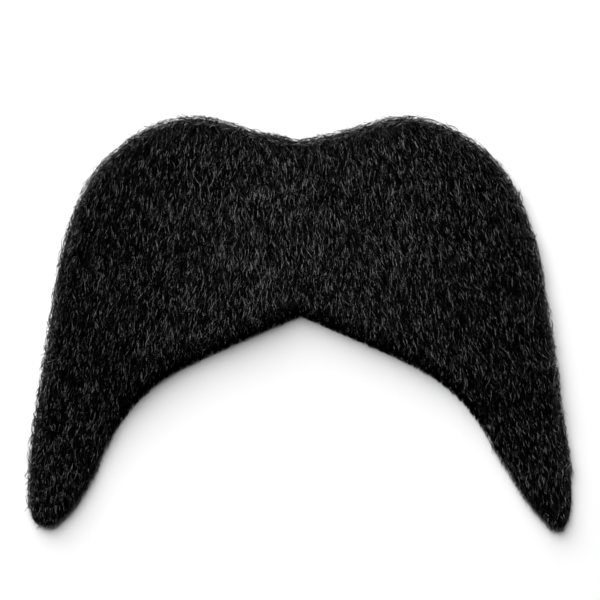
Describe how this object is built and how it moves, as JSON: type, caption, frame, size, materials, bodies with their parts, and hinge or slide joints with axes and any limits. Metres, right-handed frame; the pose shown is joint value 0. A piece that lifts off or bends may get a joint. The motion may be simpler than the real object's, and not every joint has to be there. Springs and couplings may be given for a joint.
{
  "type": "fake moustache",
  "caption": "Self-adhesive costume moustache cut from black fake fur, with two long drooping ends and its pile combed down and outwards.",
  "frame": {"origin": "centre of the bounding box in X and Y, on the surface that the moustache lies on", "axes": "+Z out of the fur, away from the face; +Y up the lip towards the nose; +X to the right of someone who looks at the fur"},
  "size_m": [0.1212, 0.0912, 0.0083],
  "materials": {
    "pile_fibre": "combed glossy synthetic fibre",
    "ground_cloth": "matt fine knit",
    "adhesive_tape": "smooth satin release film"
  },
  "bodies": {
    "root": {"fur_pile": "pile_fibre", "ground_cloth": "ground_cloth", "adhesive_strip": "adhesive_tape"}
  },
  "joints": []
}
